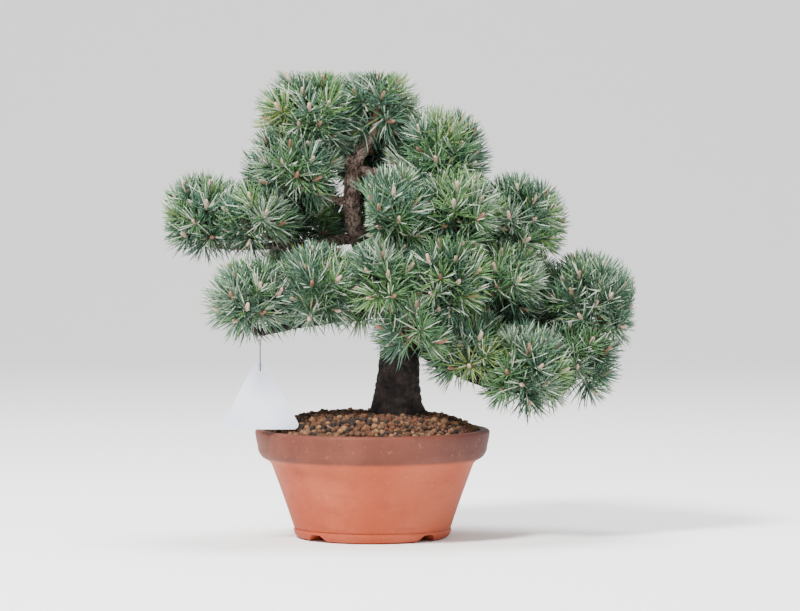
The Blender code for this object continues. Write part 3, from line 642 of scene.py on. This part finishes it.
def needleFaces():  # three sides that run to a point
    faces = []
    last = 3 * (len(needleShape["rings"]) - 1)
    for ring in range(0, last, 3):
        for j in range(3):
            k = (j + 1) % 3
            a, b, c, d = ring + j, ring + k, ring + 3 + k, ring + 3 + j
            faces += [(a, b, c), (a, c, d)]
    faces += [(last + j, last + (j + 1) % 3, last + 3) for j in range(3)]
    return np.array(faces)


def makeNeedles(name, twigs, space, surfaces):
    rng = np.random.default_rng(sum(map(ord, name)) * needleShape["seed"])
    low, high = boxLimits(needleShape["boxGap"])
    shares = sharesOf(needleColours)
    # the pale colour, painted highlights
    paleHighlight = list(needleColours).index("paleHighlight")
    pattern = needleFaces()
    corners = 3 * len(needleShape["rings"]) + 1
    points, faces, kinds, total = [], [], [], 0
    for twig in twigs:
        found, count = needlesOf(twig, space, rng, low, high)
        if count == 0:
            continue
        kind = rng.choice(len(shares), p=shares)
        starts = (total + np.arange(count)) * corners
        faces.append((pattern[None] + starts[:, None, None]).reshape(-1, 3))
        other = rng.choice(len(shares), count, p=shares)
        dealt = np.where(rng.random(count) < needleDeal["sprayShare"], kind, other)
        # pale needles anywhere, as painted highlights
        dealt = np.where(rng.random(count) < needleDeal["paleShare"], paleHighlight, dealt)
        kinds.append(np.repeat(dealt, len(pattern)))
        points.append(found)
        total += count
    mesh = bpy.data.meshes.new("needles_" + name)
    placed = (np.vstack(points) + np.array(potAxis)) * mm
    mesh.from_pydata(placed.tolist(), [], np.vstack(faces).tolist())
    finishPiece("needles_" + name, mesh, np.concatenate(kinds), surfaces, ("foliage_" + name,))
    return total


def makeFoliage(trunk, boughs, stems):
    twigBark = Surface("twigBark", woodColours["twig"], 0.85)
    candles = [Surface("paleCandle", woodColours["paleCandle"], 0.7),
               Surface("brownCandle", woodColours["brownCandle"], 0.75)]
    needles = [Surface("needles_" + name, colour, 0.42) for name, (colour, weight) in needleColours.items()]
    space = Space({"trunk": trunk, **boughs}, stems)
    shootCount = needleCount = 0
    for name in masses:
        space.choose(name)
        twigs = twigsOf(shootsOf(name, space), Vector(stems[name][-1, :3]), space)
        rng = random.Random("twigs " + name)
        ownStem = None if name in boughs else stems[name]  # a bough's bark already runs up its stem
        makePiece("twigs_" + name, twigParts(twigs, ownStem, rng), [twigBark], ())
        makePiece("candles_" + name, candleParts(twigs, rng), candles, ())
        needleCount += makeNeedles(name, twigs, space, needles)
        shootCount += len(twigs)
    print("foliage:", shootCount, "shoots,", needleCount, "needles")


# The pot's profile is turned round its axis, and two bars cut the notches that part its feet.

potShape = dict(
    rimHeight=97.0, rimRadius=105.0, rimRound=3.0, lip=8.5, lipRound=2.0, lipDepth=6.0,
    bandTop=(0.7, 8.0),  # in and down from the rim's edge
    bandSwell=(0.9, 5.0),  # out and up from the band's foot
    bandFootRadius=102.0, bandFootHeight=77.5, bandTuck=3.2, bandTuckHeight=72.5,
    underBandRadius=91.5, underBandHeight=69.0, joint=1.5, bodyTop=66.0, bodyHeights=(60.0, 52.0, 38.0, 24.0),
    bodyFootRadius=70.5, bodyFootHeight=10.0, bulge=0.08, aboveGroove=0.8, grooveWidth=2.0,
    underGroove=(0.1, 0.3), heel=(0.4, 5.0), toe=(3.4, 2.0),
    footRadius=65.0, footWidth=13.0, recess=7.0, recessSlope=2.0, floor=8.0, floorRound=4.0, wall=8.0,
    drainRadius=8.0, notchHeight=6.4, notchFoot=14.0, notchTop=5.0, notchReach=120.0, notchTurns=(45, 135),
    segments=144, smoothStep=1.2, footStep=0.8, sharpFrom=38)
clayLook = dict(
    band=(0.0690, 0.0735),  # metres up, where the body's clay ends and the rim's starts
    right=(-0.03, 0.075),  # metres across, where painted shade darkens the pot towards its right side
    body=((0.335, 0.056, 0.018), (0.410, 0.086, 0.034)), bodyStreak=(0.245, 0.040, 0.015),
    # the body's and the rim's right-side colours are painted shade
    bodyPaintedShade=(0.290, 0.062, 0.032), blotches=(0.35, 0.68),
    rim=((0.112, 0.026, 0.013), (0.165, 0.042, 0.022)), rimStain=(0.075, 0.022, 0.014),
    rimPaintedShade=(0.060, 0.020, 0.017), dust=(0.42, 0.17, 0.10), pit=(0.14, 0.045, 0.030), relief=0.00035)


def arc(x, z, radius, start, end, steps):
    angles = [math.radians(start + (end - start) * i / steps) for i in range(steps + 1)]
    return [(x + radius * math.cos(a), z + radius * math.sin(a)) for a in angles]


def softened(points, step):  # a smooth run through the profile's points
    return [(row[0], row[1]) for row in catmull([(*point, 0.0, 0.0) for point in points], step)]


def bodyRadius(height):
    p = potShape
    rise = (height - p["bodyFootHeight"]) / (p["underBandHeight"] - p["bodyFootHeight"])
    spread = p["underBandRadius"] - p["bodyFootRadius"]
    return p["bodyFootRadius"] + spread * (rise + p["bulge"] * (rise * rise - rise))


def innerRadius(height):
    p = potShape
    rise = p["rimHeight"] - p["lipDepth"] - p["underBandHeight"]
    above = min(1.0, max(0.0, (height - p["underBandHeight"]) / rise))
    body = bodyRadius(min(height, p["underBandHeight"])) - p["wall"]
    return body + (p["rimRadius"] - p["lip"] - body) * above


def potProfile():
    p = potShape
    foot, edge, half = p["bodyFootHeight"], p["rimRound"], 0.5 * p["grooveWidth"]
    profile = arc(p["rimRadius"] - edge, p["rimHeight"] - edge, edge, 90, 0, 6)
    profile += softened([
        (p["rimRadius"] - p["bandTop"][0], p["rimHeight"] - p["bandTop"][1]),
        (p["bandFootRadius"] + p["bandSwell"][0], p["bandFootHeight"] + p["bandSwell"][1]),
        (p["bandFootRadius"], p["bandFootHeight"]),
        (p["bandFootRadius"] - p["bandTuck"], p["bandTuckHeight"]),
        (p["underBandRadius"] + p["joint"], p["underBandHeight"]),
        (bodyRadius(p["bodyTop"]), p["bodyTop"])], p["smoothStep"])
    profile += [(bodyRadius(height), height) for height in (*p["bodyHeights"], foot + p["aboveGroove"])]
    profile += arc(p["bodyFootRadius"], foot - half, half, 90, 270, 6)
    profile += softened([
        (p["bodyFootRadius"] + p["underGroove"][0], foot - p["grooveWidth"] - p["underGroove"][1]),
        (p["bodyFootRadius"] - p["heel"][0], p["heel"][1]),
        (p["footRadius"] + p["toe"][0], p["toe"][1]), (p["footRadius"], 0.0)], p["footStep"])
    inner = p["footRadius"] - p["footWidth"]
    profile += [(inner, 0.0), (inner - p["recessSlope"], p["recess"]), (p["drainRadius"], p["recess"])]
    floorTop = p["recess"] + p["floor"]
    corner = floorTop + p["floorRound"]
    profile += [(p["drainRadius"], floorTop), (innerRadius(corner) - p["floorRound"], floorTop)]
    heights = (corner, p["underBandHeight"], p["rimHeight"] - p["lipDepth"])
    profile += [(innerRadius(height), height) for height in heights]
    lip = p["rimRadius"] - p["lip"] + p["lipRound"]
    return profile + arc(lip, p["rimHeight"] - p["lipRound"], p["lipRound"], 180, 90, 5)


def notchBar(turn):
    shape = bmesh.new()
    bmesh.ops.create_cube(shape, size=1.0)
    for vert in shape.verts:
        low = vert.co.z < 0.0
        half = potShape["notchFoot"] if low else potShape["notchTop"]
        vert.co = Vector((math.copysign(half, vert.co.x), math.copysign(potShape["notchReach"], vert.co.y),
                          -1.0 if low else potShape["notchHeight"])) * mm
    bmesh.ops.recalc_face_normals(shape, faces=shape.faces)
    mesh = bpy.data.meshes.new("notch")
    shape.to_mesh(mesh)
    shape.free()
    bar = addObject("notch", mesh)
    bar.rotation_euler.z = math.radians(turn)
    return bar


def makePot(surface):
    profile = potProfile()
    count = len(profile)
    mesh = bpy.data.meshes.new("clayPot")
    edges = [(i, (i + 1) % count) for i in range(count)]
    mesh.from_pydata([(x * mm, 0.0, z * mm) for x, z in profile], edges, [])
    pot = addObject("clayPot", mesh)
    screw = pot.modifiers.new("turn", "SCREW")
    screw.steps = screw.render_steps = potShape["segments"]
    screw.use_merge_vertices = True
    screw.merge_threshold = 0.00001
    bars = [notchBar(turn) for turn in potShape["notchTurns"]]
    for bar in bars:
        cut = pot.modifiers.new("notch", "BOOLEAN")
        cut.operation = "DIFFERENCE"
        cut.object = bar
    bpy.context.view_layer.update()
    turned = bpy.data.meshes.new_from_object(pot.evaluated_get(bpy.context.evaluated_depsgraph_get()))
    for item in (*bars, pot):
        bpy.data.objects.remove(item)
    turned.transform(Matrix.Translation(potAxis * mm))
    turned.materials.clear()
    finishPiece("clayPot", turned, [0] * len(turned.polygons), [surface], ("pot",))
    turned.set_sharp_from_angle(angle=math.radians(potShape["sharpFrom"]))


def claySurface():
    look = clayLook
    clay = Surface("terracotta", (0.45, 0.17, 0.09), 0.7, Specular_IOR_Level=0.35)
    band = clay.along("Z").ramp(*look["band"])
    # painted shade: the pot grows darker towards its right side, on the body and more on the rim
    right = clay.along("X").ramp(*look["right"])
    blotch = clay.noise(14.0, 4.0)
    stain = clay.noise(46.0, 5.0, 0.6)
    dust = clay.noise(260.0, 3.0, 0.6)
    streak = clay.noise(30.0, 4.0, 0.6, (1.0, 1.0, 4.0))
    body = clay.mix(blotch.ramp(*look["blotches"]), *look["body"])
    body = clay.mix(streak.ramp(0.50, 0.74) * 0.45, body, look["bodyStreak"])
    # painted shade on the body's right side
    body = clay.mix(right * 0.35, body, look["bodyPaintedShade"])
    rim = clay.mix(blotch.ramp(*look["blotches"]), *look["rim"])
    rim = clay.mix(stain.ramp(0.54, 0.72) * 0.5, rim, look["rimStain"])
    # painted shade on the rim's right side, stronger than on the body
    rim = clay.mix(right * 0.62, rim, look["rimPaintedShade"])
    colour = clay.mix(band, body, rim)
    colour = clay.mix(dust.ramp(0.60, 0.72) * 0.25, colour, look["dust"])
    colour = clay.mix(dust.ramp(0.40, 0.30) * 0.35, colour, look["pit"])
    clay.feed("Base Color", colour)
    clay.feed("Roughness", 0.84 - blotch * 0.30)
    pits = clay.pits(330.0).ramp(0.0, 0.22)
    clay.bump(dust * 0.7 + clay.noise(1100.0, 2.0) * 0.35 + pits * 0.5, look["relief"])
    return clay


# The soil is a mound with loose grains on it.

soilShape = dict(
    plateauHeight=108.0, plateauRadius=52.0, edgeHeight=94.0, edgeRadius=95.5, power=1.6,
    rings=40, sides=96, radius=96.0, roughSize=6.0, rough=0.8)
grainShape = dict(
    most=2300, tries=13800, reach=94.0, size=(2.0, 3.9), spacing=0.6076, keepOff=19.5,
    stretch=(0.78, 1.12), lumps=0.13, settle=(-0.15, 0.55), seed=21)
grainColours = dict(  # each with its weight in the deal
    tan=((0.190, 0.102, 0.054), 16), ochre=((0.250, 0.130, 0.060), 6), brown=((0.100, 0.047, 0.027), 36),
    rust=((0.135, 0.055, 0.030), 20), dark=((0.030, 0.021, 0.017), 22))
grainLook = dict(mound=(0.085, 0.052, 0.036), darker=0.62, lighter=1.25, relief=0.0004)


def moundHeight(radius):
    s = soilShape
    share = np.clip((radius - s["plateauRadius"]) / (s["edgeRadius"] - s["plateauRadius"]), 0.0, 1.0)
    return float(s["plateauHeight"] - (s["plateauHeight"] - s["edgeHeight"]) * share ** s["power"])


def makeMound(surface):
    s = soilShape
    rings, sides = s["rings"], s["sides"]
    points = [(0.0, 0.0, moundHeight(0.0))]
    for i in range(1, rings + 1):
        radius = s["radius"] * i / rings
        for j in range(sides):
            turn = math.tau * j / sides
            place = Vector((radius * math.cos(turn), radius * math.sin(turn), moundHeight(radius)))
            place.z += s["rough"] * noise.noise(place / s["roughSize"])
            points.append(place)
    faces = [(0, 1 + j, 1 + (j + 1) % sides) for j in range(sides)]
    for i in range(rings - 1):
        for j in range(sides):
            a, b = 1 + i * sides + j, 1 + i * sides + (j + 1) % sides
            faces.append((a, a + sides, b + sides, b))
    makePiece("soilMound", [(points, faces, 0)], [surface], ("soil",))


def makeGrains(surfaces):
    g = grainShape
    rng = np.random.default_rng(g["seed"])
    ball = bmesh.new()
    bmesh.ops.create_icosphere(ball, subdivisions=1, radius=1.0)
    unit = np.array([tuple(vert.co) for vert in ball.verts])
    pattern = [tuple(vert.index for vert in face.verts) for face in ball.faces]
    ball.free()
    places, parts = np.empty((0, 3)), []
    shares = sharesOf(grainColours)
    base = trunkShape["stations"][0]
    for attempt in range(g["tries"]):
        if len(parts) >= g["most"]:
            break
        radius = g["reach"] * math.sqrt(rng.random())
        turn = rng.random() * math.tau
        size = rng.uniform(*g["size"])
        x, y = radius * math.cos(turn), radius * math.sin(turn)
        if math.hypot(x - base.x, y - base.y) < g["keepOff"]:
            continue
        away = np.hypot(places[:, 0] - x, places[:, 1] - y)
        if (away < (places[:, 2] + size) * g["spacing"]).any():
            continue
        places = np.vstack([places, (x, y, size)])
        spin = np.array(Matrix.Rotation(rng.random() * math.tau, 3, Vector(rng.normal(size=3))))
        stretch = rng.uniform(*g["stretch"], 3) * size
        lumps = unit * (1 + rng.uniform(-g["lumps"], g["lumps"], (len(unit), 1)))
        place = np.array([x, y, moundHeight(radius) + rng.uniform(*g["settle"]) * size])
        parts.append(((lumps * stretch) @ spin.T + place, pattern, int(rng.choice(len(shares), p=shares))))
    makePiece("soilGrains", parts, surfaces, ())
    print("soil:", len(parts), "grains")


def grainSurface(name, colour):
    grain = Surface(name, colour, 0.9, Specular_IOR_Level=0.25)
    mottle = grain.noise(380.0, 3.0)
    dark = tuple(value * grainLook["darker"] for value in colour)
    light = tuple(min(1.0, value * grainLook["lighter"]) for value in colour)
    grain.feed("Base Color", grain.mix(mottle.ramp(0.35, 0.65), dark, light))
    grain.bump(grain.noise(1600.0, 3.0), grainLook["relief"])
    return grain


# The tag and its wire keep their solids.

tagLook = dict(
    plastic=((0.66, 0.71, 0.83), (0.76, 0.80, 0.90)), plasticRelief=0.00004, wire=(0.05, 0.045, 0.04))


def dressTag():
    plastic = Surface("whitePlastic", (0.80, 0.83, 0.90), 0.32, Coat_Weight=0.15)
    cloud = plastic.noise(40.0, 2.0)
    plastic.feed("Base Color", plastic.mix(cloud.ramp(0.3, 0.7), *tagLook["plastic"]))
    plastic.feed("Roughness", 0.26 + plastic.noise(300.0, 3.0) * 0.16)
    plastic.bump(plastic.noise(900.0, 2.0), tagLook["plasticRelief"])
    coated = Surface("coatedWire", tagLook["wire"], 0.4, Metallic=0.6)
    coated.feed("Roughness", 0.3 + coated.noise(800.0, 2.0) * 0.25)
    for node, surface in (("tag", plastic), ("tag_wire", coated)):
        solid = frame["nodes"][node]
        solid.data.materials.clear()
        solid.data.materials.append(surface.material)


# The stage is a pale floor that bends up into a backdrop. It and the lamps are in metres.

stageShape = dict(front=-6.0, bend=3.0, radius=2.0, top=9.0, side=12.0, steps=24, colour=(0.96, 0.96, 0.96))
lampShape = dict(  # place, size, watts and colour
    key=((-1.1, -1.4, 2.3), 0.5, 170.0, (1.0, 0.985, 0.96)),
    fill=((1.9, -1.6, 1.0), 1.6, 6.0, (0.95, 0.97, 1.0)),
    top=((0.1, 0.3, 2.4), 0.9, 70.0, (1.0, 1.0, 1.0)))
skyStrength = 0.95
lampTarget = Vector((0.0, 0.0, 0.2))
cameraShape = dict(place=(24.6, -3036.0, 319.0), lens=153.0, sensor=36.0, tilt=87.89)


def makeStage():
    s = stageShape
    run = [(s["front"], 0.0)]
    for i in range(s["steps"] + 1):
        turn = 0.5 * math.pi * i / s["steps"]
        run.append((s["bend"] + s["radius"] * math.sin(turn), s["radius"] * (1 - math.cos(turn))))
    run.append((s["bend"] + s["radius"], s["top"]))
    points = [(side, y, z) for y, z in run for side in (-s["side"], s["side"])]
    mesh = bpy.data.meshes.new("floor")
    mesh.from_pydata(points, [], [(2 * i, 2 * i + 1, 2 * i + 3, 2 * i + 2) for i in range(len(run) - 1)])
    mesh.polygons.foreach_set("use_smooth", np.full(len(mesh.polygons), True))
    mesh.materials.append(Surface("paleFloor", s["colour"], 0.95, Specular_IOR_Level=0.0).material)
    addObject("floor", mesh)


def makeLights():
    world = bpy.data.worlds.new("studio")
    world.use_nodes = True
    world.node_tree.nodes["Background"].inputs["Color"].default_value = (1.0, 1.0, 1.0, 1.0)
    world.node_tree.nodes["Background"].inputs["Strength"].default_value = skyStrength
    bpy.context.scene.world = world
    for name, (place, size, power, colour) in lampShape.items():
        light = bpy.data.lights.new(name, "AREA")
        light.size = size
        light.energy = power
        light.color = colour
        lamp = addObject(name, light)
        lamp.location = place
        lamp.rotation_euler = (lampTarget - Vector(place)).to_track_quat("-Z", "Y").to_euler()


def makeCamera():
    data = bpy.data.cameras.new("camera")
    data.lens = cameraShape["lens"]
    data.sensor_width = cameraShape["sensor"]
    camera = addObject("camera", data)
    camera.location = (Vector(cameraShape["place"]) + potAxis) * mm
    camera.rotation_euler = (math.radians(cameraShape["tilt"]), 0.0, 0.0)
    bpy.context.scene.camera = camera


makeCamera()
makeStage()
makeLights()
print("camera, floor and lamps")
trunk, boughs, fineBoughs, stems = planLimbs()
makeLimbs(fineBoughs, stems)
print("trunk and", len(fineBoughs), "boughs")
makeFoliage(trunk, boughs, stems)
makePot(claySurface())
print("pot")
makeMound(grainSurface("darkSoil", grainLook["mound"]))
makeGrains([grainSurface("grain_" + name, colour) for name, (colour, weight) in grainColours.items()])
dressTag()
print("tag and wire")
